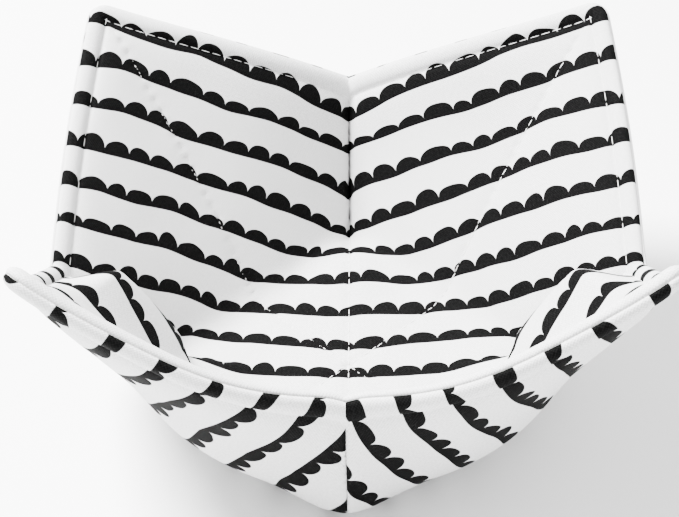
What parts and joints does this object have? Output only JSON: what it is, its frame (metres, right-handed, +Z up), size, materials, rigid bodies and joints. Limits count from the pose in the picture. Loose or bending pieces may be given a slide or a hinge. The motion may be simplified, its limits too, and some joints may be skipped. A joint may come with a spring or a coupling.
{
  "type": "microwave bowl cozy",
  "caption": "Padded square cloth holder with a dart sewn in each side, folded up into a soft four-pointed dish that holds a hot bowl.",
  "frame": {"origin": "middle of the flat floor's underside, on the table", "axes": "+X to the right, +Y to the back, where the lower and more open dart is, +Z up"},
  "size_m": [0.1958, 0.1753, 0.1035],
  "materials": {
    "lining_cloth": "white cotton canvas, printed with black scalloped stripes that run from side to side",
    "cover_cloth": "white cotton canvas, printed with black scalloped stripes that run from front to back",
    "padding": "natural cotton batting",
    "thread": "white sewing thread"
  },
  "bodies": {
    "root": {"lining": "lining_cloth", "batting": "padding", "outer_cover": "cover_cloth", "lining_topstitch": "thread", "outer_topstitch": "thread"}
  },
  "joints": []
}
